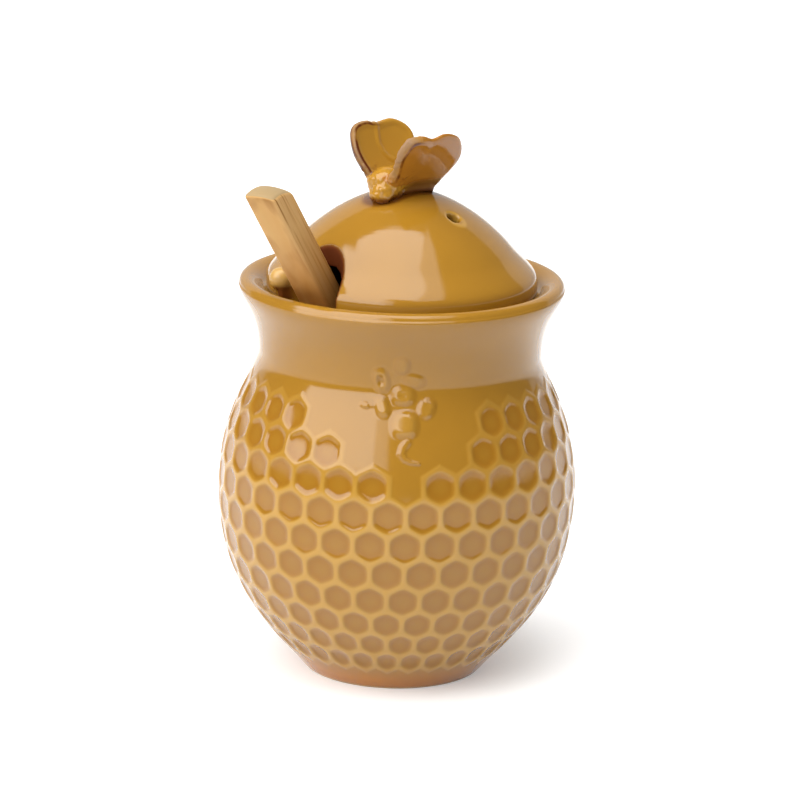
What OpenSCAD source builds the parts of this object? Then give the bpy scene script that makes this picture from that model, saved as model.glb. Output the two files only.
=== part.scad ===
// Glazed stoneware honey pot with a lift-off lid and a wooden dipper.
// Millimetres, +Z up. The origin is the centre of the foot, on the table, and the bee faces -Y.

/* [Pot] */
// Height of the pot from the table to the top of its lip
pot_h = 106; // [98:1:115]
// Radius of the foot on the table
foot_r = 24.4; // [23:0.2:28]
// Radius of the belly at its widest ring
belly_r = 47.3; // [45:0.1:52]
// Height of the belly's widest ring above the table
belly_z = 49.7; // [46:0.1:54]
// Radius of the neck at its narrowest ring
neck_r = 37.3; // [36:0.1:40]
// Height of the lip's widest ring above the neck's narrowest ring
neck_drop = 18; // [15:0.5:22]
// Thickness of the pot's wall
pot_wall = 3.4; // [3:0.1:4.2]
// Thickness of the pot's floor
pot_floor = 5; // [4:0.5:7]
// Radius of the round edge on top of the lip
lip_round = 1.9; // [1.4:0.1:2.2]
// Width of the lip outside the recess that takes the lid
lip_w = 6.4; // [5:0.1:8]
// Radius of the shallow recess under the foot
recess_r = 19; // [14:0.5:20]
// Depth of the recess under the foot
recess_depth = 1.5; // [0.8:0.1:2.5]

/* [Lid] */
// Depth of the ledge that carries the lid, below the top of the lip
seat_depth = 3.5; // [2.5:0.1:5]
// Width of the ledge that the lid's brim rests on
seat_w = 1.7; // [1.4:0.1:3]
// Clearance between the lid's brim and the side of its recess
lid_gap = 0.8; // [0.5:0.1:1.2]
// Height of the lid's dome above the ledge
dome_h = 27.1; // [22:0.5:32]
// Height of the dome's shoulder above the ledge
shoulder_h = 11.7; // [9:0.1:14]
// Distance of the dome's shoulder in from the brim's edge
shoulder_in = 6.7; // [5:0.1:9]
// Height of the brim's upright edge above the ledge
brim_h = 3.6; // [2.5:0.1:5]
// Thickness of the lid's wall
lid_wall = 3.8; // [3:0.1:4.5]
// Depth of the ring that centres the lid in the throat
ring_depth = 5.5; // [4:0.5:8]
// Thickness of the centring ring
ring_w = 3; // [2.4:0.1:4]
// Clearance between the centring ring and the throat
ring_gap = 1.4; // [0.8:0.1:2]
// Radius of the round notch for the dipper
notch_r = 10.2; // [9.4:0.1:11.5]
// Distance of the notch's centre from the pot's axis
notch_out = 36; // [34.5:0.1:37.5]
// Turn of the notch from the front towards the left, in degrees
notch_turn = 46.5; // [30:0.5:60]
// Radius of the vent hole
vent_r = 1.9; // [1.4:0.1:2.4]
// Distance of the vent hole from the pot's axis
vent_out = 17.1; // [14:0.1:20]
// Turn of the vent hole from the front towards the right, in degrees
vent_turn = 50.5; // [35:0.5:70]
// Tilt of the vent hole from upright, in degrees
vent_tilt = 25; // [0:1:35]

/* [Butterfly knob] */
// Length of the butterfly's body
body_len = 20; // [18:0.5:22]
// Width of the butterfly's body
body_w = 8.8; // [8:0.1:10]
// Distance of the body's middle from the pot's axis, towards the butterfly's head
body_shift = 1; // [0:0.1:2]
// Height of the middle of the body above the crown of the dome
body_rise = 0.8; // [0.4:0.1:2]
// Turn of the butterfly's body away from the left-right line, in degrees
body_turn = 40; // [20:1:60]
// Width of a wing along the body
wing_w = 21; // [19:0.5:23]
// Height of a wing from the body to the top of its lobes
wing_h = 18; // [17:0.1:20]
// Thickness of a wing
wing_t = 2.6; // [2.4:0.1:3.6]
// Width of a wing at its root
wing_root_w = 15; // [13:0.5:17]
// Radius of the round lobes of a wing
lobe_r = 7; // [6:0.1:7.6]
// Depth of the notch between a wing's lobes
wing_notch = 1.3; // [0.8:0.1:2]
// Lean of the left wing from upright, in degrees
left_lean = 30; // [22:1:40]
// Lean of the right wing from upright, in degrees
right_lean = 38; // [28:1:46]
// Distance from the body's middle line to the middle of a wing's root
wing_side = 1.8; // [1.5:0.1:2.6]

/* [Bee relief] */
// Height of the bee's middle on the pot, below the top of the lip
bee_drop = 23.5; // [20:0.5:26]
// Size of the bee, from its head to the tip of its tail
bee_len = 26; // [22:0.5:28]
// Height of the relief above the pot's face
bee_relief = 1.1; // [0.6:0.1:1.5]

/* [Dipper] */
// Width of the square handle
handle_w = 8.2; // [7:0.1:8.6]
// Radius of the handle's four long edges
handle_edge = 0.8; // [0.4:0.1:1.5]
// Radius of the soft dome on the handle's end
end_dome = 16; // [15:0.5:24]
// Slant of the handle's end from square, in degrees
end_slant = 28; // [0:1:34]
// Length of the whole dipper, along its middle
dipper_len = 146.5; // [135:0.5:165]
// Lean of the dipper from upright, in degrees
dipper_lean = 33; // [31:0.1:34]
// Turn of the handle's faces about its own axis, in degrees
handle_turn = 18; // [0:1:45]
// Clearance between the dipper and the pot where it leans
dipper_gap = 0.3; // [0.2:0.1:0.6]
// Radius of the turned head
head_r = 7.5; // [6.5:0.1:8]
// Length of the turned head
head_len = 32; // [26:1:36]
// Length of the plain shoulder that holds the handle
head_shoulder = 5; // [3:0.5:8]
// Number of grooves round the head
grooves = 5; // [4:1:6]
// Width of a groove
groove_w = 2.4; // [1.8:0.1:2.8]
// Depth of a groove
groove_depth = 2.4; // [1.5:0.1:3]
// Radius of the tenon that fixes the handle in the head
tenon_r = 2.5; // [2:0.1:3]
// Length of the tenon
tenon_len = 14; // [10:0.5:18]
// Clearance for glue round the tenon
glue_gap = 0.05; // [0.03:0.01:0.1]

/* [Hidden] */
$fn = 96;
glaze = "#c8923a";
glaze_deep = "#a9712a";
wood = "#d0a46c";

// Points of a curve from a to d that leaves towards b and arrives from c
function curve(a, b, c, d, steps) = [
    for (i = [0:steps]) let (t = i / steps, s = 1 - t)
        s * s * s * a + 3 * s * s * t * b + 3 * s * t * t * c + t * t * t * d
];

// Lengths that the profile's curves run straight before they turn
foot_pull = 15.7;
belly_pull_down = 27.3;
belly_pull_up = 20.6;
neck_pull_down = 5.9;
neck_pull_up = 10.7;
lip_pull = 3.5;
foot_slope = 52.5;
floor_round = 9;

// Fits that follow from the driving sizes
throat_r = neck_r - pot_wall;
lid_r = throat_r + seat_w;
recess_side_r = lid_r + lid_gap;
lip_r = recess_side_r + lip_w;
seat_z = pot_h - seat_depth;
lip_z = pot_h - lip_round;
neck_z = lip_z - neck_drop;
ledge_round = 0.6;
slant_turn = 60; // from the square to the high side of its slanted end, in degrees
dome_top = seat_z + dome_h;

// Pot: outside from the foot up to the lip, then the recess for the lid, the throat and the cavity
pot_outside = concat(
    curve([foot_r, 0], [foot_r + foot_pull * cos(foot_slope), foot_pull * sin(foot_slope)],
          [belly_r, belly_z - belly_pull_down], [belly_r, belly_z], 18),
    curve([belly_r, belly_z], [belly_r, belly_z + belly_pull_up],
          [neck_r, neck_z - neck_pull_down], [neck_r, neck_z], 14),
    curve([neck_r, neck_z], [neck_r, neck_z + neck_pull_up],
          [lip_r, lip_z - lip_pull], [lip_r, lip_z], 10)
);
lip_top = [for (a = [15:15:90]) [lip_r - lip_round + lip_round * cos(a), lip_z + lip_round * sin(a)]];
lip_slope = curve([lip_r - lip_round, pot_h], [lip_r - lip_round - 1.6, pot_h],
                  [recess_side_r + 1.4, pot_h - 1.2], [recess_side_r, seat_z], 8);
ledge_edge = [
    for (a = [0:15:90])
        [throat_r + ledge_round - ledge_round * sin(a), seat_z - ledge_round + ledge_round * cos(a)]
];
cavity = concat(
    curve([throat_r, neck_z], [throat_r, neck_z - neck_pull_down],
          [belly_r - pot_wall, belly_z + belly_pull_up], [belly_r - pot_wall, belly_z], 14),
    curve([belly_r - pot_wall, belly_z], [belly_r - pot_wall, belly_z - belly_pull_down],
          [foot_r - 6 + floor_round, pot_floor], [foot_r - 6, pot_floor], 24)
);

// Place of the dipper: its handle leans on the throat's edge, its round end lies on the cavity's wall
lean_side = handle_w / 2 * (cos(handle_turn) + sin(handle_turn));
lean_reach = lean_side + dipper_gap + ledge_round;
lean_r = throat_r + ledge_round - lean_reach * cos(dipper_lean);
lean_z = seat_z - ledge_round + lean_reach * sin(dipper_lean);
cross_z = lean_z - lean_r / tan(dipper_lean);
end_reach = head_r + dipper_gap;
end_stops = [
    for (p = cavity)
        let (along = p[0] * sin(dipper_lean) + (cross_z - p[1]) * cos(dipper_lean),
             off = p[0] * cos(dipper_lean) - (cross_z - p[1]) * sin(dipper_lean))
        if (along > 0 && abs(off) < end_reach) along - sqrt(end_reach * end_reach - off * off)
];
dipper_end = min(end_stops) + head_r;

module ring_of(points) {
    rotate_extrude() polygon(points);
}

// Solid shape of the pot without its cavity, which also trims the relief
module pot_blank() {
    ring_of(concat([[0, 0]], pot_outside, [[0, lip_z]]));
}

module pot_body() {
    color(glaze) difference() {
        ring_of(concat([[0, recess_depth], [recess_r, recess_depth], [recess_r, 0]],
                       pot_outside, lip_top, lip_slope, ledge_edge, cavity, [[0, pot_floor]]));
    }
}

// Lid: dome, shoulder and brim outside; hollow dome and centring ring inside
shoulder = [lid_r - shoulder_in, seat_z + shoulder_h];
shoulder_slope = 50;
function dome_side(drop, inset) = concat(
    curve([0, dome_top - drop], [13, dome_top - drop],
          shoulder + [-inset - 6.5 * cos(shoulder_slope), 6.5 * sin(shoulder_slope) - drop * 0.8],
          shoulder + [-inset, -drop * 0.8], 16)
);
brim = concat(
    curve(shoulder, shoulder + [2.6, -2.6 * tan(shoulder_slope)],
          [lid_r, seat_z + brim_h + 2.4], [lid_r, seat_z + brim_h], 8),
    [for (a = [0:15:90]) [lid_r - 1.2 + 1.2 * cos(a), seat_z + 1.2 - 1.2 * sin(a)]]
);
ring_r = throat_r - ring_gap;
ring_in = ring_r - ring_w;

module dome_blank() {
    ring_of(concat([[0, seat_z]], dome_side(0, 0), brim));
}

module lid_hollow() {
    hollow_z = seat_z + brim_h;
    ring_of(concat([[0, seat_z - ring_depth - 1]], dome_side(lid_wall, lid_wall * 0.55),
                   [[ring_in, hollow_z], [ring_in, seat_z - ring_depth - 1]]));
}

module lid_dome() {
    color(glaze) difference() {
        union() {
            dome_blank();
            translate([0, 0, seat_z - ring_depth]) cylinder(r = ring_r, h = ring_depth + brim_h);
        }
        lid_hollow();
        rotate([0, 0, -notch_turn]) translate([0, -notch_out, seat_z - ring_depth - 1])
            cylinder(r = notch_r, h = dome_h + ring_depth + 2);
        rotate([0, 0, vent_turn]) translate([0, -vent_out, dome_top - lid_wall])
            rotate([vent_tilt, 0, 0]) cylinder(r = vent_r, h = 4 * lid_wall, center = true);
    }
}

// Butterfly: an oval body on the crown with two lobed wings that stand in a V
module on_crown() {
    translate([0, 0, dome_top + body_rise]) rotate([0, 0, 180 + body_turn])
        translate([body_shift, 0, 0]) children();
}

module body_lump() {
    on_crown() hull() {
        for (side = [-1, 1]) translate([side * (body_len - body_w) / 2, 0, 0]) {
            sphere(d = body_w, $fn = 32);
            translate([0, 0, -body_w / 2 - 2]) cylinder(d = body_w * 0.9, h = 2, $fn = 32);
        }
    }
}

module butterfly_body() {
    color(glaze_deep) difference() {
        body_lump();
        dome_blank();
    }
}

module wing_outline() {
    for (side = [-1, 1]) hull() {
        translate([side * (wing_w / 2 - lobe_r), wing_h - lobe_r]) circle(r = lobe_r, $fn = 32);
        translate([side * (wing_root_w - lobe_r) / 2 - lobe_r / 2, 0]) square([lobe_r, 1]);
        translate([-1, 0]) square([2, wing_h - wing_notch]);
    }
}

// side is -1 for the left wing, which leans away from the front, and 1 for the right one
module wing(side, lean) {
    color(glaze) difference() {
        on_crown() translate([0, side * wing_side, 0]) rotate([90 - side * lean, 0, 0])
            translate([0, 0, -wing_t / 2]) linear_extrude(wing_t) wing_outline();
        body_lump();
        dome_blank();
        on_crown() translate([0, -side * body_w, 0]) cube([2 * wing_w, 2 * body_w, 4 * wing_h], center = true);
    }
}

module butterfly_wing_left() {
    wing(-1, left_lean);
}

module butterfly_wing_right() {
    wing(1, right_lean);
}

// Bee: low round sprigs on the pot's face, each a slice of a ball trimmed by the pot's own shape
function face_r(z) = lookup(z, [for (p = pot_outside) [p[1], p[0]]]);

// across and up are in mm from the bee's middle, half is the sprig's half width
module sprig(across, up, half) {
    z = pot_h - bee_drop + up;
    ball = (half * half + bee_relief * bee_relief) / (2 * bee_relief);
    r = face_r(z);
    rotate([0, 0, across / r * 180 / PI]) translate([0, -(r + bee_relief - ball), z]) sphere(r = ball);
}

module bee_relief_sprig() {
    unit = bee_len / 26;
    color(glaze) difference() {
        union() {
            sprig(0, 10.5 * unit, 2.6 * unit);
            sprig(0, 3.2 * unit, 3.4 * unit);
            for (rise = [-2.5, -5.5]) sprig(0, rise * unit, 3.1 * unit);
            sprig(0, -12 * unit, 2 * unit);
            for (side = [-1, 1]) {
                sprig(side * 6 * unit, 6.6 * unit, 2.9 * unit);
                sprig(side * 6.6 * unit, -0.2 * unit, 2.6 * unit);
            }
        }
        pot_blank($fn = 360);
    }
}

// Dipper: a square handle whose tenon is glued into a turned, grooved head
module at_dipper() {
    translate([0, 0, cross_z]) rotate([0, 0, -notch_turn]) rotate([dipper_lean, 0, 0])
        translate([0, 0, -dipper_end]) children();
}

module dipper_handle() {
    flat = handle_w - 2 * handle_edge;
    color(wood) at_dipper() {
        intersection() {
            translate([0, 0, head_len]) rotate([0, 0, handle_turn])
                linear_extrude(dipper_len - head_len + handle_w) {
                    square([handle_w, flat], center = true);
                    square([flat, handle_w], center = true);
                    for (x = [-1, 1], y = [-1, 1]) translate([x, y] * flat / 2) circle(r = handle_edge);
                }
            translate([0, 0, dipper_len]) rotate([0, 0, handle_turn + slant_turn])
                translate([-end_dome * sin(end_slant), 0, -end_dome * cos(end_slant)]) {
                    translate([0, 0, -dipper_len]) cylinder(r = end_dome, h = dipper_len);
                    sphere(r = end_dome);
                }
        }
        translate([0, 0, head_len - tenon_len]) cylinder(r = tenon_r, h = tenon_len);
    }
}

module dipper_head() {
    shoulder_bevel = 2;
    rib_pitch = (head_len - head_r - head_shoulder) / grooves;
    color(wood) at_dipper() difference() {
        ring_of(concat(
            [for (a = [0:15:90]) [head_r * sin(a), head_r - head_r * cos(a)]],
            [[head_r, head_len - shoulder_bevel], [head_r - shoulder_bevel, head_len], [0, head_len]]
        ));
        for (i = [0:grooves - 1]) translate([0, 0, head_r + i * rib_pitch]) difference() {
            cylinder(r = head_r + 1, h = groove_w);
            cylinder(r = head_r - groove_depth, h = groove_w);
        }
        translate([0, 0, head_len - tenon_len - 1]) cylinder(r = tenon_r + glue_gap, h = tenon_len + 2);
    }
}

pot_body();
bee_relief_sprig();
lid_dome();
butterfly_body();
butterfly_wing_left();
butterfly_wing_right();
dipper_handle();
dipper_head();
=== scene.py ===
import math

import bmesh
import bpy
import numpy as np
from mathutils import Matrix, Vector, noise


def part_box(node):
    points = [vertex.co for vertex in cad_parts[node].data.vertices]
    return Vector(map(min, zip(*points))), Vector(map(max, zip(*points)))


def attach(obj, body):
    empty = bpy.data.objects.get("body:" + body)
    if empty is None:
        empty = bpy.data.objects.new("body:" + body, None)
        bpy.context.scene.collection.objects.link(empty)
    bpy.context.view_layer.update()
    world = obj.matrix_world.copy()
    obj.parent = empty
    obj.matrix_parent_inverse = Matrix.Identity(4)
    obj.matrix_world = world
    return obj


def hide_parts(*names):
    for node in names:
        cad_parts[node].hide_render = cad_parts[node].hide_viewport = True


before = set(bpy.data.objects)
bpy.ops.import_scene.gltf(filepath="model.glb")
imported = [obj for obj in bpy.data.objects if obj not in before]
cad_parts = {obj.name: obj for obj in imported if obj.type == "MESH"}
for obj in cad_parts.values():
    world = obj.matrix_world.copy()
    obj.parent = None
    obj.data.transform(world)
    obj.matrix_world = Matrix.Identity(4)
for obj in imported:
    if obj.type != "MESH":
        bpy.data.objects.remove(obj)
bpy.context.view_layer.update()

# The pot body. A round stoneware pot, jiggered with a honeycomb in its mould and a bee on its front,
# dipped in a glossy honey glaze that breaks pale over the ridges and pools amber in the cells.
mm = 0.001
foot_r, foot_slope, foot_pull, foot_edge = 24.4, math.radians(52.5), 15.7, 0.9
belly_r, belly_z, belly_pull_down, belly_pull_up = 47.3, 49.7, 27.3, 20.6
neck_r, neck_z, neck_pull_down, neck_pull_up = 37.3, 86.1, 5.9, 10.7
lip_r, lip_z, lip_round, lip_pull = 42.8, 104.1, 1.9, 3.5
pot_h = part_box("pot_body")[1].z / mm
recess_side_r, seat_z = 36.4, pot_h - 3.5
throat_r, ledge_round = 33.9, 0.6
pot_wall, pot_floor, floor_round, floor_inset = 3.4, 5.0, 9.0, 6.0
foot_recess_r, foot_recess_depth = 19.0, 1.5


def curve(a, b, c, d, steps=60):
    """Points from a to d that leave towards b and arrive from c."""
    t = np.linspace(0, 1, steps)[:, None]
    a, b, c, d = (np.array(p, float) for p in (a, b, c, d))
    return (1 - t) ** 3 * a + 3 * (1 - t) ** 2 * t * b + 3 * (1 - t) * t * t * c + t ** 3 * d


def arc(centre, radius, start, end, steps=9):
    """Points on a round edge, its angles in degrees."""
    angle = np.radians(np.linspace(start, end, steps))
    return np.array(centre) + radius * np.stack([np.cos(angle), np.sin(angle)], 1)


def walk(points):
    """Length along a line of points, at each of them."""
    return np.concatenate([[0], np.cumsum(np.linalg.norm(np.diff(points, axis=0), axis=1))])


def spaced(points, step):
    """The same line, with its points the same step apart."""
    along = walk(points)
    at = np.linspace(0, along[-1], max(2, int(round(along[-1] / step)) + 1))
    return np.stack([np.interp(at, along, points[:, i]) for i in range(points.shape[1])], 1)


def outward(points):
    """Normals of a profile, to the right of the way it runs."""
    run = np.gradient(points, axis=0)
    run /= np.linalg.norm(run, axis=1)[:, None] + 1e-12
    return np.stack([run[:, 1], -run[:, 0]], 1)


def mesh_piece(name, vertices, faces):
    """A smooth-shaded object from points in millimetres."""
    mesh = bpy.data.meshes.new(name)
    mesh.from_pydata((np.asarray(vertices) * mm).tolist(), [], faces)
    mesh.polygons.foreach_set("use_smooth", [True] * len(mesh.polygons))
    mesh.update()
    piece = bpy.data.objects.new(name, mesh)
    bpy.context.scene.collection.objects.link(piece)
    return piece


def turned(name, ring_of_points):
    """A closed skin from a grid of points, rows along the profile and columns round the axis, with a
    point in the middle of both ends."""
    rows, columns = ring_of_points.shape[:2]
    grid = np.arange(rows * columns).reshape(rows, columns)
    following = np.roll(grid, -1, axis=1)
    quads = np.stack([grid[:-1], following[:-1], following[1:], grid[1:]], -1).reshape(-1, 4)
    ends = ring_of_points[[0, -1]].mean(axis=1)
    vertices = np.concatenate([ring_of_points.reshape(-1, 3), ends])
    first = np.stack([following[0], grid[0], np.full(columns, rows * columns)], -1)
    last = np.stack([grid[-1], following[-1], np.full(columns, rows * columns + 1)], -1)
    return mesh_piece(name, vertices, quads.tolist() + first.tolist() + last.tolist())


def share(piece, name, values):
    """Stores one number for each point of a piece, which its material reads."""
    layer = piece.data.attributes.new(name, "FLOAT", "POINT")
    layer.data.foreach_set("value", np.asarray(values, np.float32).ravel())


def ease(x, low, high):
    """0 below low, 1 above high, and a smooth rise between them."""
    t = np.clip((x - low) / (high - low), 0, 1)
    return t * t * (3 - 2 * t)


pot_outside = np.concatenate([
    arc([foot_r - foot_edge, foot_edge * 0.8], foot_edge * 0.8, -90, -38, 5),
    curve([foot_r, 0.55], [foot_r + foot_pull * math.cos(foot_slope), foot_pull * math.sin(foot_slope)],
          [belly_r, belly_z - belly_pull_down], [belly_r, belly_z])[1:],
    curve([belly_r, belly_z], [belly_r, belly_z + belly_pull_up],
          [neck_r, neck_z - neck_pull_down], [neck_r, neck_z])[1:],
    curve([neck_r, neck_z], [neck_r, neck_z + neck_pull_up],
          [lip_r, lip_z - lip_pull], [lip_r, lip_z])[1:],
])
pot_inside = np.concatenate([
    arc([lip_r - lip_round, lip_z], lip_round, 0, 90),
    curve([lip_r - lip_round, pot_h], [lip_r - lip_round - 1.6, pot_h],
          [recess_side_r + 1.4, pot_h - 1.2], [recess_side_r, seat_z + 0.4], 20)[1:],
    arc([throat_r + ledge_round, seat_z - ledge_round], ledge_round, 90, 180),
    curve([throat_r, neck_z], [throat_r, neck_z - neck_pull_down],
          [belly_r - pot_wall, belly_z + belly_pull_up], [belly_r - pot_wall, belly_z]),
    curve([belly_r - pot_wall, belly_z], [belly_r - pot_wall, belly_z - belly_pull_down],
          [foot_r - floor_inset + floor_round, pot_floor], [foot_r - floor_inset, pot_floor])[1:],
    [[0.5, pot_floor]],
])
pot_under = np.array([[0.5, foot_recess_depth], [foot_recess_r - 1, foot_recess_depth],
                      [foot_recess_r - 0.2, foot_recess_depth - 0.5], [foot_recess_r, 0.3],
                      [foot_recess_r + 0.4, 0], [foot_r - foot_edge - 0.4, 0]])

# Honeycomb: 33 cells round the belly and rows 7.83 mm apart along its side, left out in front
# where the bee stands in a smooth clearing that widens upwards.
cells_round, row_step, first_row_z, cell_rows = 33, 7.83, 10.5, 10
ridge_half, ridge_rise, ridge_step, bowl_depth, corner_round = 0.66, 0.13, 0.13, 0.31, 0.9
column_turn = math.radians(1.6)
clearing_z = [54, 61.7, 69, 76.5, 84, 90]
clearing_half_turn = [-1, 6, 21, 32, 47, 180]
cell_turn = 2 * math.pi / cells_round
coarse_step, fine_step = 0.44, 0.22
columns_per_cell, fine_columns_per_cell, lip_rows = 20, 36, 14
bee_up, bee_reach, bee_half_turn = 89.0, 16.5, math.radians(16)


def steps_between(start, end, step):
    """Values about a step apart, without the last."""
    return np.linspace(start, end, int(round((end - start) / step)), endpoint=False)


profile_length = walk(pot_outside)[-1]
along = np.concatenate([
    steps_between(0, bee_up - bee_reach, coarse_step),
    steps_between(bee_up - bee_reach, bee_up + bee_reach, fine_step),
    np.linspace(bee_up + bee_reach, profile_length, lip_rows),
])
turn = np.concatenate([
    steps_between(-math.pi, -bee_half_turn, cell_turn / columns_per_cell),
    steps_between(-bee_half_turn, bee_half_turn, cell_turn / fine_columns_per_cell),
    steps_between(bee_half_turn, math.pi, cell_turn / columns_per_cell),
])
outside = np.stack([np.interp(along, walk(pot_outside), pot_outside[:, i]) for i in (0, 1)], 1)
first_row = np.interp(first_row_z, outside[:, 1], along)
side, round_turn = np.meshgrid(along, turn, indexing="ij")
radius = np.broadcast_to(outside[:, :1], side.shape)
cell_half = radius * cell_turn / 2
cell_point = row_step / 1.5
slant = np.hypot(cell_half, cell_point / 2)


def row_shift(row):
    """Turn of a row's first cell: every second row sits half a cell along."""
    return column_turn - cell_turn / 2 * (1 - row % 2)


def cell_there(row, column):
    """Whether the honeycomb has this cell."""
    height = np.interp(first_row + row * row_step, along, outside[:, 1])
    from_front = column * cell_turn + row_shift(row)
    from_front = np.degrees(np.abs((from_front + math.pi) % (2 * math.pi) - math.pi))
    half_clearing = np.interp(height, clearing_z, clearing_half_turn)
    return (row >= 0) & (row < cell_rows) & (from_front > half_clearing)


# Each point's distance inside the edge of its cell, which cell that is, and its place in it.
far_off = 9.0
best = np.full(side.shape, -far_off)
cell_row, cell_column, across_cell, up_cell = (np.zeros(side.shape) for _ in range(4))
for step in (0, 1):
    row = np.floor((side - first_row) / row_step) + step
    column = np.round((round_turn - row_shift(row)) / cell_turn)
    x = (round_turn - row_shift(row) - column * cell_turn) * radius
    y = side - first_row - row * row_step
    to_edge = np.minimum(
        cell_half - np.abs(x),
        (cell_half * cell_point - cell_point / 2 * np.abs(x) - cell_half * np.abs(y)) / slant)
    nearer = to_edge > best
    for kept, new in (
        (best, to_edge), (cell_row, row), (cell_column, column), (across_cell, x), (up_cell, y),
    ):
        kept[nearer] = new[nearer]
there = cell_there(cell_row, cell_column)
beside_edge = np.full(side.shape, far_off)
for way in (-1, 1):
    beside = cell_there(cell_row, cell_column + way)
    beside_edge = np.where(beside, np.minimum(beside_edge, cell_half - way * across_cell), beside_edge)
    for rise in (-1, 1):
        slanted = (cell_half * cell_point - cell_point / 2 * way * across_cell
                   - cell_half * rise * up_cell) / slant
        beside = cell_there(cell_row + rise, cell_column + (way - 1) / 2 + cell_row % 2)
        beside_edge = np.where(beside, np.minimum(beside_edge, slanted), beside_edge)
# The glaze fills each cell's corners, so they are round.
from_middle = np.hypot(across_cell, corner_round)
slant_edge = (cell_half * cell_point - cell_point / 2 * from_middle - cell_half * np.abs(up_cell)) / slant
side_edge = cell_half - np.abs(across_cell)
nearness = sum(np.exp(-2 * distance / corner_round) for distance in (side_edge, slant_edge))
best = -corner_round / 2 * np.log(nearness)
edge = np.where(there, best, beside_edge)
ridge = 1 - ease(edge, 0, ridge_half * 1.7)
cell_floor = np.where(there, ease(best, ridge_half * 0.4, ridge_half * 2.3), 0)
bowl = np.clip(1 - (across_cell ** 2 + up_cell ** 2) / (cell_half - 0.3) ** 2, 0, 1)
relief = ridge * ridge_rise - cell_floor * (ridge_step + bowl_depth * bowl)

# The bee's clay parts: across and up from its middle, half sizes, tilt, rise, and the depth of a
# hollow inside. Each has a blunt crest to the right of its middle, as a modelling tool leaves it.
bee_parts = [
    (-0.4, 11.6, 2.1, 2.4, 0, 0.6, 0), (0.1, 3.7, 3.2, 2.6, 0, 0.8, 0.1),
    (-5.6, 7.6, 2.2, 3.4, 13, 0.8, 0.7), (2.7, 7.5, 3.1, 1.9, -14, 0.5, 0),
    (-5.3, 0.7, 1.9, 2.9, 14, 0.85, 0), (-9.6, 0.9, 1.4, 0.9, -8, 0.4, 0), (-7.6, 1.0, 1.8, 0.7, 0, 0.3, 0),
    (6.1, 0.3, 2.4, 2.8, -22, 0.7, 0), (0.6, -3.8, 3.5, 3.6, 0, 1.15, 0),
]
bee_tail = [(1.4, -8.2, 1.2), (0.4, -9.6, 1.25), (-0.1, -11.2, 1.15), (0.7, -12.6, 0.95),
            (2.2, -13.4, 0.7), (4.4, -13.8, 0.4)]
crest, crest_slope, lump_height, lump_corner, tail_rise = 0.3, 0.25, 0.88, 2.6, 0.42
across_bee = radius * round_turn
up_bee = side - bee_up
bee = np.zeros(side.shape)
for across, up, half_w, half_h, tilt, rise, hollow in bee_parts:
    c, s = math.cos(math.radians(tilt)), math.sin(math.radians(tilt))
    u = ((across_bee - across) * c + (up_bee - up) * s) / half_w
    v = ((up_bee - up) * c - (across_bee - across) * s) / half_h
    reach = (np.abs(u) ** lump_corner + np.abs(v) ** lump_corner) ** (1 / lump_corner)
    lump = rise * lump_height * (1 - ease(reach, 0.45, 1.25)) * (1 - crest_slope * np.abs(u - crest))
    lump -= hollow * (1 - ease(reach, 0.05, 0.62))
    bee = np.maximum(bee, lump)
for (x0, y0, w0), (x1, y1, w1) in zip(bee_tail, bee_tail[1:]):
    t = ((across_bee - x0) * (x1 - x0) + (up_bee - y0) * (y1 - y0)) / ((x1 - x0) ** 2 + (y1 - y0) ** 2)
    t = np.clip(t, 0, 1)
    gap = np.hypot(across_bee - x0 - t * (x1 - x0), up_bee - y0 - t * (y1 - y0)) / (w0 + t * (w1 - w0))
    bee = np.maximum(bee, tail_rise * (1 - ease(gap, 0.2, 1.2)))
relief = relief + bee
# The glaze is thin on the ridges, less so on the upper ones, and on the bee's high parts. It pools
# in the cells, most along their edges, and a little round the bee.
lowest_thin, thin_drop, drop_from_z, drop_to_z = 0.95, 0.6, 52, 72
ridge_thin = lowest_thin - thin_drop * ease(outside[:, 1:], drop_from_z, drop_to_z)
thin_and_highlight = (1 - ease(edge, ridge_half * 0.3, ridge_half * 1.6)) * ridge_thin
thin_and_highlight = np.maximum(thin_and_highlight, 0.3 * ease(bee, 0.3, 0.9))
pool_and_shade = cell_floor * (0.9 - 0.5 * ease(best, 1.4, 3.4))
pool_and_shade = pool_and_shade + 0.25 * ease(bee, 0.02, 0.12) * (1 - ease(bee, 0.15, 0.4))


def rounded(profile, rows_relief=None):
    """Turns a profile into a grid of points, pushed out along its normals by the relief."""
    normal = outward(profile)[:, None, :]
    push = np.zeros((len(profile), len(turn))) if rows_relief is None else rows_relief
    r = profile[:, None, 0] + normal[..., 0] * push
    z = profile[:, None, 1] + normal[..., 1] * push
    return np.stack([r * np.sin(turn), -r * np.cos(turn), z], -1)


inside = np.concatenate([spaced(pot_inside[:60], 0.6), spaced(pot_inside[60:], 1.8)])
skin = np.concatenate([rounded(pot_under), rounded(outside, relief), rounded(inside)])
pot = turned("pot_honeycomb", skin)


def whole(part, before=0.0, after=0.0):
    """A value for each point of the pot's skin and its two ends, from the values on the outside."""
    low = np.full((len(pot_under), len(turn)), before)
    high = np.full((len(inside), len(turn)), after)
    return np.concatenate([np.concatenate([low, part, high]).ravel(), [before, after]])


height = np.broadcast_to(outside[:, 1:], side.shape)
share(pot, "pool_and_shade", whole(pool_and_shade))
share(pot, "thin_and_highlight", whole(thin_and_highlight))
# A ring of bare clay is left at the foot, and the glaze above it ran thick.
share(pot, "bare_and_highlight", whole(1 - ease(height, 0.35, 0.75), before=1.0))
share(pot, "ran", whole(1 - ease(height, 1.0, 9.0)))


def linear(hex_colour):
    """Turns an sRGB hex colour into the linear values that the shader takes."""
    srgb = [int(hex_colour[i:i + 2], 16) / 255 for i in (1, 3, 5)]
    return [c / 12.92 if c <= 0.04045 else ((c + 0.055) / 1.055) ** 2.4 for c in srgb] + [1.0]


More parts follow.
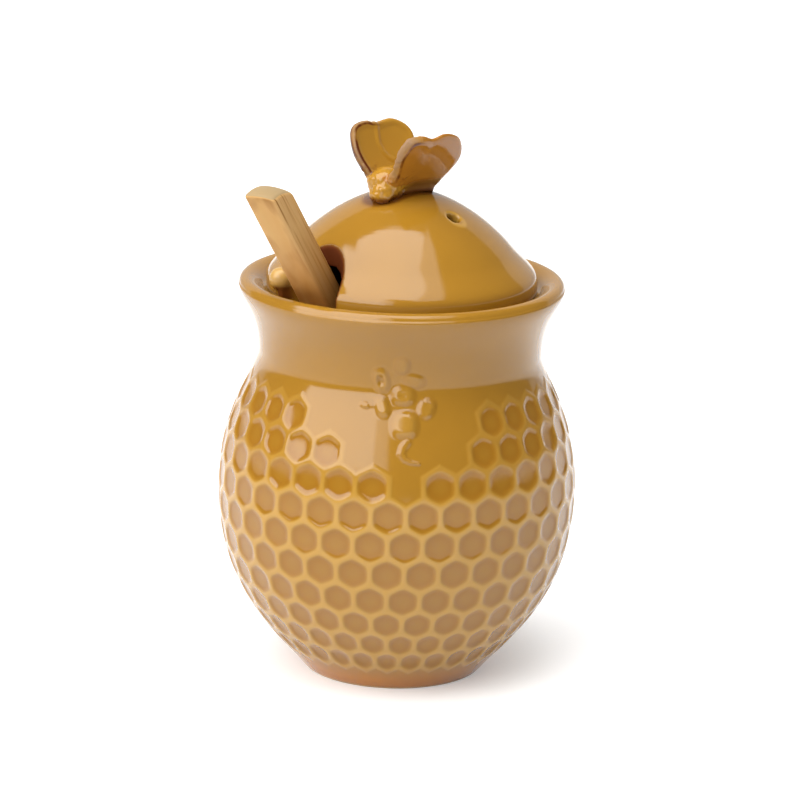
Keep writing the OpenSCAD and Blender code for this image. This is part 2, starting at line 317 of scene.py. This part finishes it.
def add_node(tree, kind, inputs=None, **settings):
    """Adds a node with its settings, and sets or links its inputs."""
    node = tree.nodes.new(kind)
    for name, value in settings.items():
        setattr(node, name, value)
    for name, value in (inputs or {}).items():
        socket = node.inputs[name]
        if isinstance(value, bpy.types.NodeSocket):
            tree.links.new(value, socket)
        else:
            socket.default_value = value
    return node


def new_material(name):
    """An empty material, its node tree and its principled shader."""
    material = bpy.data.materials.new(name)
    material.use_nodes = True
    return material, material.node_tree, material.node_tree.nodes["Principled BSDF"]


def glazed_stoneware(name, amber, honey, tan, pool_and_shade_colour, gloss=0.5):
    """Honey glaze on buff stoneware: thin and pale on ridges, thick and amber in hollows, mirror
    smooth, with a slight wave where it ran. It shines less where it is dry."""
    material, tree, shader = new_material(name)
    place = add_node(tree, "ShaderNodeTexCoord").outputs["Object"]
    # Thicker and thinner runs are about 22 mm across. A colour mix has its amount at socket 0, its
    # two colours at 6 and 7, and its result at output 2.
    runs = add_node(tree, "ShaderNodeTexNoise", {
        "Vector": place, "Scale": 1 / (22.2 * mm), "Detail": 4.0, "Roughness": 0.55})
    colour = add_node(tree, "ShaderNodeMix", {0: runs.outputs["Fac"], 6: linear(amber), 7: linear(honey)},
                      data_type="RGBA").outputs[2]
    # The marks: thin and pooled glaze, a run, stains and bare clay, and on lid and knob painted highlight
    # and shade.
    for mark, shade in (("thin_and_highlight", tan), ("pool_and_shade", pool_and_shade_colour), ("ran", "#b8741c"), ("stain_and_shade", "#582708"),
                        ("bare_and_highlight", "#c9a877")):
        amount = add_node(tree, "ShaderNodeAttribute", attribute_name=mark).outputs["Fac"]
        colour = add_node(tree, "ShaderNodeMix", {0: amount, 6: colour, 7: linear(shade)},
                          data_type="RGBA").outputs[2]
    tree.links.new(colour, shader.inputs["Base Color"])
    bare_and_highlight, dry = (add_node(tree, "ShaderNodeAttribute", attribute_name=mark).outputs["Fac"]
                 for mark in ("bare_and_highlight", "dry"))
    unglazed = add_node(tree, "ShaderNodeMath", {0: bare_and_highlight, 1: dry}, operation="MAXIMUM").outputs[0]
    rough = add_node(tree, "ShaderNodeMapRange", {"Value": unglazed, "To Min": 0.09, "To Max": 0.75})
    tree.links.new(rough.outputs["Result"], shader.inputs["Roughness"])
    shader.inputs["IOR"].default_value = 1.52
    shader.inputs["Specular IOR Level"].default_value = gloss
    # The fired surface waves by less than a tenth of a millimetre, every 6 mm or so.
    wave = add_node(tree, "ShaderNodeTexNoise", {"Vector": place, "Scale": 1 / (6.25 * mm), "Detail": 1.0})
    bump = add_node(tree, "ShaderNodeBump", {
        "Height": wave.outputs["Fac"], "Distance": 0.06 * mm, "Strength": 0.6})
    tree.links.new(bump.outputs["Normal"], shader.inputs["Normal"])
    return material


def glaze(piece, dry, name, *colours, mostly_dry=0.3):
    """Glazes a piece: the faces that are mostly dry take the same glaze with less shine."""
    share(piece, "dry", dry)
    piece.data.materials.append(glazed_stoneware(name, *colours))
    if not np.any(dry):
        return
    piece.data.materials.append(glazed_stoneware(name + "_dry", *colours, gloss=0.1))
    corners_of = np.zeros(len(piece.data.loops), np.int32)
    piece.data.loops.foreach_get("vertex_index", corners_of)
    first_corner = np.zeros(len(piece.data.polygons), np.int32)
    piece.data.polygons.foreach_get("loop_start", first_corner)
    dry_faces = dry[corners_of[first_corner]] > mostly_dry
    piece.data.polygons.foreach_set("material_index", dry_faces.astype(np.int32))


honey_colours = ("#9b6f20", "#92671b", "#b08638", "#8f6014")
glaze(pot, np.zeros(len(pot.data.vertices)), "glazed_stoneware_honey", *honey_colours)
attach(pot, "pot")
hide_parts("pot_body", "bee_relief_sprig")

# The lid. A thrown dome with a brim that sits on the ledge inside the lip, a round notch cut out
# for the dipper and a vent hole; the glaze rounds every edge and breaks pale along them.
vent_turn, vent_out, vent_r = math.radians(50.5), 17.1, 1.9
notch_turn, notch_out, notch_r = math.radians(46.5), 36.0, 10.2
dome_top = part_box("lid_dome")[1].z / mm


def soft_copy(name, nodes, voxel, passes, parts=()):
    """One skin over some of the solids and loose parts, with every edge rounded as glaze rounds it."""
    scratch = bmesh.new()
    for node in nodes:
        scratch.from_mesh(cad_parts[node].data)
    for part in parts:
        scratch.from_mesh(part.data)
        bpy.data.objects.remove(part)
    mesh = bpy.data.meshes.new(name)
    scratch.to_mesh(mesh)
    scratch.free()
    piece = bpy.data.objects.new(name, mesh)
    bpy.context.scene.collection.objects.link(piece)
    remesh = piece.modifiers.new("skin", "REMESH")
    remesh.mode, remesh.voxel_size = "VOXEL", voxel * mm
    smooth = piece.modifiers.new("round", "SMOOTH")
    smooth.factor, smooth.iterations = 0.5, passes
    finished = bpy.data.meshes.new_from_object(piece.evaluated_get(bpy.context.evaluated_depsgraph_get()))
    piece.modifiers.clear()
    piece.data = finished
    finished.name = name
    finished.polygons.foreach_set("use_smooth", [True] * len(finished.polygons))
    return piece


def points_of(piece):
    """The piece's points, in millimetres."""
    flat = np.zeros(len(piece.data.vertices) * 3, np.float32)
    piece.data.vertices.foreach_get("co", flat)
    return flat.reshape(-1, 3).astype(float) / mm


def ball(centre, ahead, beside, half_l, half_w, half_h):
    """A long ball, to be joined into a skin."""
    level = np.linspace(0, 2 * math.pi, 40, endpoint=False)[:, None]
    ring = half_l * np.cos(level) * np.array(ahead) + half_w * np.sin(level) * np.array(beside)
    rows = [np.array(centre) + half_h * math.sin(a) * np.array([0, 0, 1]) + math.cos(a) * ring
            for a in np.radians(np.linspace(-86, 86, 20))]
    return turned("ball", np.array(rows))


# A bead of glaze rounds the left end of the notch.
bead_at, bead_half = np.array([-31.7, -13.6, seat_z + 5.4]), (3.1, 3.0, 3.2)
bead = ball(bead_at, (1, 0, 0), (0, 1, 0), *bead_half)
lid = soft_copy("lid_dome_glazed", ["lid_dome"], voxel=0.45, passes=8, parts=[bead])

# Marks on the lid: darker round the knob's foot and along the brim's lower edge, painted shade in the
# notch and under the bead, pale glaze round the vent, and a painted highlight over the bead.
knob_turn, knob_out, knob_foot_l, knob_foot_r = math.radians(180 + 40), 1.0, 5.6, 4.4
at = points_of(lid)
along_knob = at[:, 0] * math.cos(knob_turn) + at[:, 1] * math.sin(knob_turn) - knob_out
beside_knob = at[:, 1] * math.cos(knob_turn) - at[:, 0] * math.sin(knob_turn)
past_ends = np.maximum(np.abs(along_knob) - knob_foot_l, 0)
from_knob = np.hypot(past_ends, beside_knob) - knob_foot_r
on_top = ease(at[:, 2], seat_z + 15, seat_z + 20)
notch_at = notch_out * np.array([-math.sin(notch_turn), -math.cos(notch_turn)])
from_notch = np.hypot(at[:, 0] - notch_at[0], at[:, 1] - notch_at[1])
# Painted shade: the notch's walls are darkened, all but at its left tip.
in_notch = (1 - ease(from_notch, notch_r + 0.2, notch_r + 1.0)) * ease(at[:, 0] + 30, 0, 6)
share(lid, "pool_and_shade", (1 - ease(from_knob, 0.8, 4.0)) * on_top * 0.5)
vent_at = np.array([vent_out * math.sin(vent_turn), -vent_out * math.cos(vent_turn)])
from_vent = np.hypot(at[:, 0] - vent_at[0], at[:, 1] - vent_at[1])
from_bead = np.hypot(at[:, 0] - bead_at[0], at[:, 1] - bead_at[1])
by_bead = (1 - ease(from_bead, 2.0, 6.5)) * (at[:, 2] > seat_z + 0.5)
# A painted highlight on the bead's top, in the pale glaze and bare clay colours.
on_bead = by_bead * ease(at[:, 2], bead_at[2] - 2.2, bead_at[2] - 0.8)
round_vent = (1 - ease(np.abs(from_vent - vent_r - 0.4), 0.2, 0.9)) * on_top * 0.8
share(lid, "thin_and_highlight", np.maximum(round_vent, on_bead))
share(lid, "bare_and_highlight", on_bead * 0.25)
# Painted shade under the bead.
under_bead = (by_bead - on_bead) * (from_notch < notch_r + 1.5)
low_brim = 0.4 * (1 - ease(at[:, 2], seat_z + 0.8, seat_z + 2.8))
share(lid, "stain_and_shade", np.maximum.reduce([
    (1 - ease(from_knob, 0.6, 2.4)) * on_top * 0.75, in_notch, under_bead * 0.9, low_brim]))
# Where the shade is painted, in the notch and under the bead, the glaze also shines less.
glaze(lid, np.maximum(in_notch, under_bead), "glazed_stoneware_lid", *honey_colours)
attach(lid, "lid")
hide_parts("lid_dome")

# The knob. A butterfly of pressed clay, luted to the crown before glazing: a pinched lump for its body
# and two cupped wings in a V. The glaze ran thin on their rims and left them pale brown, with a dark
# line on both sides.
knob_z, wing_side, wing_t, wing_cup, rim_round = dome_top + 0.8, 1.8, 2.5, 1.0, 0.12
right_back_thinner, vein_rise, pit_depth, rim_pit_depth = 0.45, 0.32, 0.6, 0.5
wings = [
    # side of the body, lean from upright, and the outline along the body and up the wing
    (-1, 30, [(7.0, -1.0), (8.9, 4.0), (10.9, 10.2), (9.7, 16.3), (5.0, 18.2), (0.8, 17.5), (-4.8, 17.9),
              (-9.2, 15.2), (-10.3, 11.0), (-8.6, 4.5), (-7.0, -1.0)]),
    (1, 38, [(7.0, -1.0), (8.6, 6.6), (9.9, 13.2), (8.3, 18.6), (4.6, 19.4), (1.1, 18.6), (-3.0, 19.7),
             (-8.8, 17.2), (-12.4, 10.6), (-10.6, 3.4), (-7.5, -1.0)]),
]
# The body's lumps: along, beside and above the knob's middle, and half sizes.
body_lumps = [
    (6.0, 0.8, 1.2, 5.0, 4.5, 4.6), (8.2, 1.8, -0.6, 3.4, 3.6, 3.2),
    (3.5, -1.4, 2.0, 4.0, 3.2, 3.4), (-0.5, 1.2, -0.4, 9.0, 2.6, 2.8),
]
# The vein inside the left wing: along the body and up the wing.
vein = np.array([(1.3, 17.0), (1.2, 15.7), (1.7, 13.0), (1.8, 11.6), (1.1, 9.3), (-0.3, 7.4), (-1.6, 6.6)])
knob_ahead = Vector((math.cos(knob_turn), math.sin(knob_turn), 0))
knob_beside = Vector((-math.sin(knob_turn), math.cos(knob_turn), 0))
knob_middle = knob_ahead * knob_out + Vector((0, 0, knob_z))


def smooth_loop(points, steps=12):
    """A closed smooth line through a few points."""
    p = np.array(points, float)
    before, after, later = (np.roll(p, -k, axis=0)[:, None, :] for k in (-1, 1, 2))
    p = p[:, None, :]
    t = np.linspace(0, 1, steps, endpoint=False)[None, :, None]
    line = p + (after - before) * t / 2 + (before - 2.5 * p + 2 * after - later / 2) * t ** 2
    return (line + (1.5 * p - before / 2 - 1.5 * after + later / 2) * t ** 3).reshape(-1, 2)


def wing_axes(way, lean):
    """A wing's root, and its directions along the body, up the wing and to the inside of the V."""
    a = math.radians(90 - way * lean)
    up = knob_beside * math.cos(a) + Vector((0, 0, math.sin(a)))
    inward = (Vector((0, 0, math.cos(a))) - knob_beside * math.sin(a)) * way
    return [np.array(v) for v in (knob_middle + knob_beside * wing_side * way, knob_ahead, up, inward)]


def distance_to(line, points):
    """How far each point is from the nearest point of a line."""
    return np.sqrt(((points[:, None, :] - line[None]) ** 2).sum(2).min(1))


def cupped(way, along_wing, up_wing):
    """How far the wing's middle surface bends to the inside: the right wing is flatter at its back."""
    bend = np.where((along_wing < 0) & (way > 0), 0.25, 1.0)
    return wing_cup * (bend * (along_wing / 10) ** 2 + (np.maximum(up_wing - 6, 0) / 12) ** 2 - 1.1)


parts = []
for way, lean, outline in wings:
    root, ahead, up, inward = wing_axes(way, lean)
    loop = smooth_loop(outline)
    middle = np.array([0.0, 9.0])
    rows = []
    near_rim = 1 - rim_round * (1 - np.sin(np.linspace(0.2, 1.5, 6)))
    reach = np.concatenate([np.linspace(0.05, 0.85, 6), near_rim])
    for face, reach_row in [(1, r) for r in reach] + [(-1, r) for r in reach[::-1]]:
        flat = middle + (loop - middle) * reach_row
        half = wing_t / 2 * math.sqrt(1 - max(0, (reach_row - 1 + rim_round) / rim_round) ** 2)
        half = half * (1 - right_back_thinner * (1 - ease(flat[:, 0], 0, 6)) * (way > 0))
        off = cupped(way, flat[:, 0], flat[:, 1]) + face * half
        rows.append(root + flat[:, :1] * ahead + flat[:, 1:] * up + off[:, None] * inward)
    parts.append(turned("wing", np.array(rows)))
for ahead_by, beside_by, above_by, half_l, half_w, half_h in body_lumps:
    centre = knob_middle + knob_ahead * ahead_by + knob_beside * beside_by + Vector((0, 0, above_by))
    parts.append(ball(centre, knob_ahead, knob_beside, half_l, half_w, half_h))
butterfly = soft_copy("butterfly_knob", ["butterfly_body"], voxel=0.28, passes=16, parts=parts)
at = points_of(butterfly)
above_crown = at[:, 2] - (dome_top - (at[:, 0] ** 2 + at[:, 1] ** 2) / 75)
head_way = (at - np.array(knob_middle)) @ np.array(knob_ahead)
beside_way = (at - np.array(knob_middle)) @ np.array(knob_beside)
# Painted shade on the body's side under the right wing, which also shines less there.
under_wing = ease(beside_way, 1.0, 3.0) * (1 - ease(above_crown, 2.0, 4.8)) * (1 - ease(head_way, 0.5, 5.0))
on_lump = (1 - ease(above_crown, 5.5, 8.5)) * ease(head_way, 1.5, 4.5)
rim = np.zeros(len(at))
rim_line = np.zeros(len(at))
on_wing = np.zeros(len(at))
push = np.zeros(len(at))
for way, lean, outline in wings:
    root, ahead, up, inward = wing_axes(way, lean)
    along_wing, up_wing, off = ((at - root) @ v for v in (ahead, up, inward))
    off = off - cupped(way, along_wing, up_wing)
    loop = smooth_loop(outline)
    on_face = np.stack([along_wing, up_wing], 1)
    to_rim = distance_to(loop, on_face)
    here = (np.abs(off) < wing_t * 0.75) & (up_wing > 3.5)
    on_wing = np.where(here, way, on_wing)
    # The left rim is worn from its middle forwards, on its inside, and the right one at its front.
    worn = ease(along_wing, -4.0, 5.0)
    band = ease(off, 0.1, 0.8)
    if way > 0:
        worn = ease(along_wing, 3.5, 7.0) * ease(up_wing, 3.5, 7.0)
        band = 1.0
    rim = np.where(here, np.maximum(rim, (1 - ease(to_rim, 0.4, 1.0)) * worn * band), rim)
    line = np.maximum(1 - ease(np.abs(to_rim - 1.0), 0.15, 0.5), (1 - ease(to_rim, 0.8, 1.4)) * (1 - band))
    rim_line = np.where(here, np.maximum(rim_line, line * worn), rim_line)
    if way < 0:
        to_vein = distance_to(spaced(vein, 0.3), on_face)
        push = np.where(here & (off > 0), vein_rise * (1 - ease(to_vein, 0.0, 1.1)), push)
    push = push - np.where(here & (off > 0), 0.22 * ease(to_rim, 1.0, 2.6) - 0.1, 0)
pits = np.array([noise.noise(Vector(p) / 3.2) + 0.4 * noise.noise(Vector(p) / 1.1) for p in at])
push = push + on_lump * pits * pit_depth + rim * pits * rim_pit_depth
normals = np.zeros(len(at) * 3, np.float32)
butterfly.data.vertices.foreach_get("normal", normals)
at = at + normals.reshape(-1, 3) * push[:, None]
butterfly.data.vertices.foreach_set("co", (at * mm).astype(np.float32).ravel())
share(butterfly, "thin_and_highlight", np.clip(rim * (0.75 + 0.6 * pits), 0, 1))
# Painted shade: the right wing, apart from its worn rims, takes the deep glaze colour.
share(butterfly, "pool_and_shade", (on_wing > 0) * 0.6 * (1 - rim))
# The dark mark: at the knob's foot, in lines along the rims, and painted shade under the right wing.
share(butterfly, "stain_and_shade", np.maximum.reduce([
    (1 - ease(above_crown, 0.4, 1.9)) * 0.9, rim_line * (0.9 + 0.8 * pits), under_wing * 0.7]))
# The knob's deep colour, #96571a, is only painted shade, on the right wing.
glaze(butterfly, np.maximum(rim * 0.6, under_wing * 0.7), "glazed_stoneware_knob",
      "#ad7f28", "#a0711f", "#94765a", "#96571a")
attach(butterfly, "lid")
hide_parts("butterfly_body", "butterfly_wing_left", "butterfly_wing_right")

# The dipper's handle. A planed square beech stick with eased edges; its end is sanded round, a little
# on the slant, and it stands in the notch with its lower end glued in the head.
handle_w, handle_edge, end_dome, end_slant, slant_turn = 8.2, 0.8, 16.0, math.radians(28), math.radians(60)
dipper_len, head_len, head_r, end_ease = 146.5, 32.0, 7.5, 0.9
side_rows, edge_rows, end_rows = 60, 7, 12
dipper_lean, handle_turn = math.radians(33), math.radians(18)
dipper_way = Matrix.Rotation(-notch_turn, 4, "Z") @ Matrix.Rotation(dipper_lean, 4, "X")
head_points = [vertex.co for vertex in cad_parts["dipper_head"].data.vertices]
dipper_foot = min(head_points, key=lambda point: point.dot(dipper_way.to_3x3() @ Vector((0, 0, 1))))
dipper_place = Matrix.Translation(dipper_foot) @ dipper_way
flat = handle_w / 2 - handle_edge
corners = [arc([x, y], handle_edge, start, start + 90, 7)
           for x, y, start in ((flat, flat, 0), (-flat, flat, 90), (-flat, -flat, 180), (flat, -flat, 270))]
section = []
for corner, following in zip(corners, corners[1:] + corners[:1]):
    section += [corner, np.linspace(corner[-1], following[0], 12)[1:-1]]
section = np.concatenate(section)


def end_height(points):
    """Height of the sanded end over points of the section: a ball's crown, leaning to one corner."""
    high_side = points @ np.array([math.cos(slant_turn), math.sin(slant_turn)])
    across = points @ np.array([-math.sin(slant_turn), math.cos(slant_turn)])
    out = high_side + end_dome * math.sin(end_slant)
    return dipper_len - end_dome * math.cos(end_slant) + np.sqrt(end_dome ** 2 - out ** 2 - across ** 2)


rows = [np.column_stack([section * 0.05, np.full(len(section), head_len)])]
for share_up in np.linspace(0, 1, side_rows):
    up = head_len + (end_height(section) - end_ease - head_len) * share_up
    rows.append(np.column_stack([section, up]))
for angle in np.radians(np.linspace(12, 90, edge_rows)):
    shrunk = section * (1 - end_ease * (1 - math.cos(angle)) / (handle_w / 2))
    rows.append(np.column_stack([shrunk, end_height(shrunk) - end_ease * (1 - math.sin(angle))]))
for share_in in np.linspace(1 - end_ease / (handle_w / 2), 0.05, end_rows)[1:]:
    rows.append(np.column_stack([section * share_in, end_height(section * share_in)]))
handle = turned("dipper_handle_beech", np.array(rows))
handle.matrix_world = dipper_place @ Matrix.Rotation(handle_turn, 4, "Z")


def planed_beech(name, pale, tan, streak, soaked, end_grain):
    """Beech, planed and oiled: fine straight grain along the stick with short darker flecks, duller on
    the sanded end and darker where honey has soaked in."""
    material, tree, shader = new_material(name)
    place = add_node(tree, "ShaderNodeTexCoord").outputs["Object"]
    # Grain lines about 0.7 mm apart and 25 mm long on the two quarter-sawn faces, broad soft figure
    # on the other two, and bands of colour that run along most of the stick.
    grain_size, band_size = (8.33, 0.667, 25), (6.67, 2.86, 83.3)
    grain, bands = (
        add_node(tree, "ShaderNodeTexNoise", {
            "Vector": add_node(tree, "ShaderNodeMapping", {
                "Vector": place, "Scale": [1 / (length * mm) for length in size]}).outputs["Vector"],
            "Scale": 1.0, "Detail": detail}).outputs["Fac"]
        for size, detail in ((grain_size, 3.0), (band_size, 2.0)))
    colour = add_node(tree, "ShaderNodeMix", {0: bands, 6: linear(pale), 7: linear(tan)},
                      data_type="RGBA").outputs[2]
    lines = add_node(tree, "ShaderNodeMapRange", {"Value": grain, "From Min": 0.52, "From Max": 0.72})
    up_stick = add_node(tree, "ShaderNodeSeparateXYZ", {"Vector": place}).outputs["Z"]
    from_end = add_node(tree, "ShaderNodeMapRange", {
        "Value": up_stick, "From Min": (dipper_len - 12) * mm, "From Max": (dipper_len - 44) * mm})
    sanded = add_node(tree, "ShaderNodeAttribute", attribute_name="sanded_end")
    for amount, shade in ((lines.outputs["Result"], streak), (from_end.outputs["Result"], soaked),
                          (sanded.outputs["Fac"], end_grain)):
        colour = add_node(tree, "ShaderNodeMix", {0: amount, 6: colour, 7: linear(shade)},
                          data_type="RGBA").outputs[2]
    tree.links.new(colour, shader.inputs["Base Color"])
    shader.inputs["Roughness"].default_value = 0.55
    shader.inputs["Specular IOR Level"].default_value = 0.25
    bump = add_node(tree, "ShaderNodeBump", {"Height": grain, "Distance": 0.1 * mm, "Strength": 0.5})
    tree.links.new(bump.outputs["Normal"], shader.inputs["Normal"])
    return material


beech = planed_beech("beech_planed", "#c9a672", "#b88643", "#85541f", "#90560f", "#a18860")
# The sanding starts half way round the eased edge of the end.
sanded_row = np.arange(len(rows)) > side_rows + edge_rows // 2
share(handle, "sanded_end", np.concatenate([np.repeat(sanded_row, len(section)), [0, 1]]))
handle.data.materials.append(beech)
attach(handle, "dipper")
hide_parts("dipper_handle")

# The dipper's head. Turned from beech with grooves that hold the honey, and glued on the handle.
head_shoulder, grooves, groove_w, groove_depth, bevel = 5.0, 5, 2.4, 2.4, 2.0
rib_edge_up, rib_edge_in, head_columns = 0.3, 0.2, 96
rib_pitch = (head_len - head_r - head_shoulder) / grooves
head_profile = [np.column_stack([head_r * np.sin(a), head_r - head_r * np.cos(a)])
                for a in [np.radians(np.linspace(4, 88, 14))]]
for i in range(grooves):
    low = head_r + i * rib_pitch
    head_profile.append(np.array([
        [head_r - groove_depth, low + rib_edge_up], [head_r - groove_depth, low + groove_w - rib_edge_up],
        [head_r - rib_edge_in, low + groove_w], [head_r, low + groove_w + rib_edge_up],
        [head_r, low + rib_pitch - rib_edge_up], [head_r - rib_edge_in, low + rib_pitch]]))
head_profile.append(np.array([
    [head_r, head_len - bevel], [head_r - bevel, head_len - rib_edge_in], [0.4, head_len]]))
head_profile = spaced(np.concatenate(head_profile), 0.35)
head_turn = np.linspace(0, 2 * math.pi, head_columns, endpoint=False)
head = turned("dipper_head_beech", np.stack([
    head_profile[:, :1] * np.cos(head_turn), head_profile[:, :1] * np.sin(head_turn),
    np.repeat(head_profile[:, 1:], head_columns, 1)], -1))
head.matrix_world = dipper_place
head.data.materials.append(beech)
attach(head, "dipper")
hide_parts("dipper_head")

# The table, the light and the camera. A pale seamless floor, white all round near the table, a large
# soft light at the front left and a dim grey room above.
floor_size, white, paper_glow = 8.0, (1.0, 1.0, 1.0, 1.0), 0.32
floor_mesh = bpy.data.meshes.new("floor")
floor_corners = [(x * floor_size / 2, y * floor_size / 2, 0)
                 for x, y in ((-1, -1), (1, -1), (1, 1), (-1, 1))]
floor_mesh.from_pydata(floor_corners, [], [(0, 1, 2, 3)])
table_top = bpy.data.objects.new("floor", floor_mesh)
bpy.context.scene.collection.objects.link(table_top)
paper, tree, shader = new_material("white_paper")
shader.inputs["Base Color"].default_value = (0.75, 0.75, 0.75, 1)
shader.inputs["Roughness"].default_value = 0.9
# The paper glows a little to the camera and in reflections, which whitens it and keeps the shadow.
rays = add_node(tree, "ShaderNodeLightPath").outputs
seen = rays["Is Camera Ray"]
for ray in ("Is Glossy Ray", "Is Transmission Ray"):
    seen = add_node(tree, "ShaderNodeMath", {0: seen, 1: rays[ray]}, operation="MAXIMUM").outputs[0]
shader.inputs["Emission Color"].default_value = white
lift = add_node(tree, "ShaderNodeMath", {0: seen, 1: paper_glow}, operation="MULTIPLY")
tree.links.new(lift.outputs[0], shader.inputs["Emission Strength"])
floor_mesh.materials.append(paper)

world = bpy.data.worlds.new("studio")
bpy.context.scene.world = world
world.use_nodes = True
tree = world.node_tree
way = add_node(tree, "ShaderNodeTexCoord").outputs["Generated"]


def towards(azimuth, elevation):
    """The direction at an azimuth, in degrees to the left of the front, and an elevation."""
    a, e = math.radians(azimuth), math.radians(elevation)
    return Vector((-math.sin(a) * math.cos(e), -math.cos(a) * math.cos(e), math.sin(e)))


def panel(corners, softness, strength):
    """Light from a flat panel whose corners lie in these directions, clockwise as the pot sees it."""
    inside_all = None
    for start, end in zip(corners, corners[1:] + corners[:1]):
        normal = towards(*start).cross(towards(*end)).normalized()
        side_of = add_node(tree, "ShaderNodeVectorMath", {0: way, 1: normal}, operation="DOT_PRODUCT")
        side_of = side_of.outputs["Value"]
        if inside_all:
            side_of = add_node(tree, "ShaderNodeMath", {0: inside_all, 1: side_of},
                               operation="MINIMUM").outputs[0]
        inside_all = side_of
    glow = add_node(tree, "ShaderNodeMapRange", {
        "Value": inside_all, "From Min": -softness, "From Max": softness, "To Max": strength,
    }, interpolation_type="SMOOTHSTEP")
    return glow.outputs["Result"]


up_share = add_node(tree, "ShaderNodeSeparateXYZ", {"Vector": way}).outputs["Z"]
table_glow = add_node(tree, "ShaderNodeMapRange", {
    "Value": up_share, "From Min": 0.01, "From Max": 0.04, "To Min": 1.0, "To Max": 0.16,
}).outputs["Result"]
rays = add_node(tree, "ShaderNodeLightPath").outputs
strength = table_glow
# Two lights at the front left, two overhead and a dim one low behind; white to the camera.
for light in (
    panel([(17, 14), (18, 62), (115, 52), (76, 11)], 0.04, 4.3),
    panel([(8, 14), (9, 50), (30, 50), (25, 14)], 0.03, 2.4),
    panel([(-15, 52), (-118, 74), (115, 60), (60, 45)], 0.03, 4.3),
    panel([(-42, 47), (-130, 70), (-20, 64), (-10, 46)], 0.03, 2.2),
    panel([(130, 0), (150, 40), (-148, 46), (-119, 0)], 0.02, 0.7),
    rays["Is Camera Ray"],
    rays["Is Transmission Ray"],
):
    strength = add_node(tree, "ShaderNodeMath", {0: strength, 1: light}, operation="MAXIMUM").outputs[0]
background = tree.nodes["Background"]
background.inputs["Color"].default_value = white
tree.links.new(strength, background.inputs["Strength"])

fill = bpy.data.lights.new("fill", "AREA")
fill.size, fill.energy = 1.4, 7
fill_lamp = bpy.data.objects.new("fill", fill)
fill_lamp.location = towards(-90, 75) * 1.5
fill_lamp.rotation_euler = (-fill_lamp.location).to_track_quat("-Z", "Y").to_euler()
fill_lamp.visible_glossy = False
bpy.context.scene.collection.objects.link(fill_lamp)

camera = bpy.data.cameras.new("camera")
camera.lens, camera.sensor_width = 169.06, 36
camera_place = Vector((-25.11, -958.83, 332.87)) * mm
aim = Vector((0.30, 0, 72.40)) * mm
roll = math.radians(1.504)
viewer = bpy.data.objects.new("camera", camera)
viewer.matrix_world = (Matrix.Translation(camera_place)
                       @ (aim - camera_place).to_track_quat("-Z", "Y").to_matrix().to_4x4()
                       @ Matrix.Rotation(roll, 4, "Z"))
bpy.context.scene.collection.objects.link(viewer)
bpy.context.scene.camera = viewer
bpy.context.scene.view_settings.view_transform = "Standard"
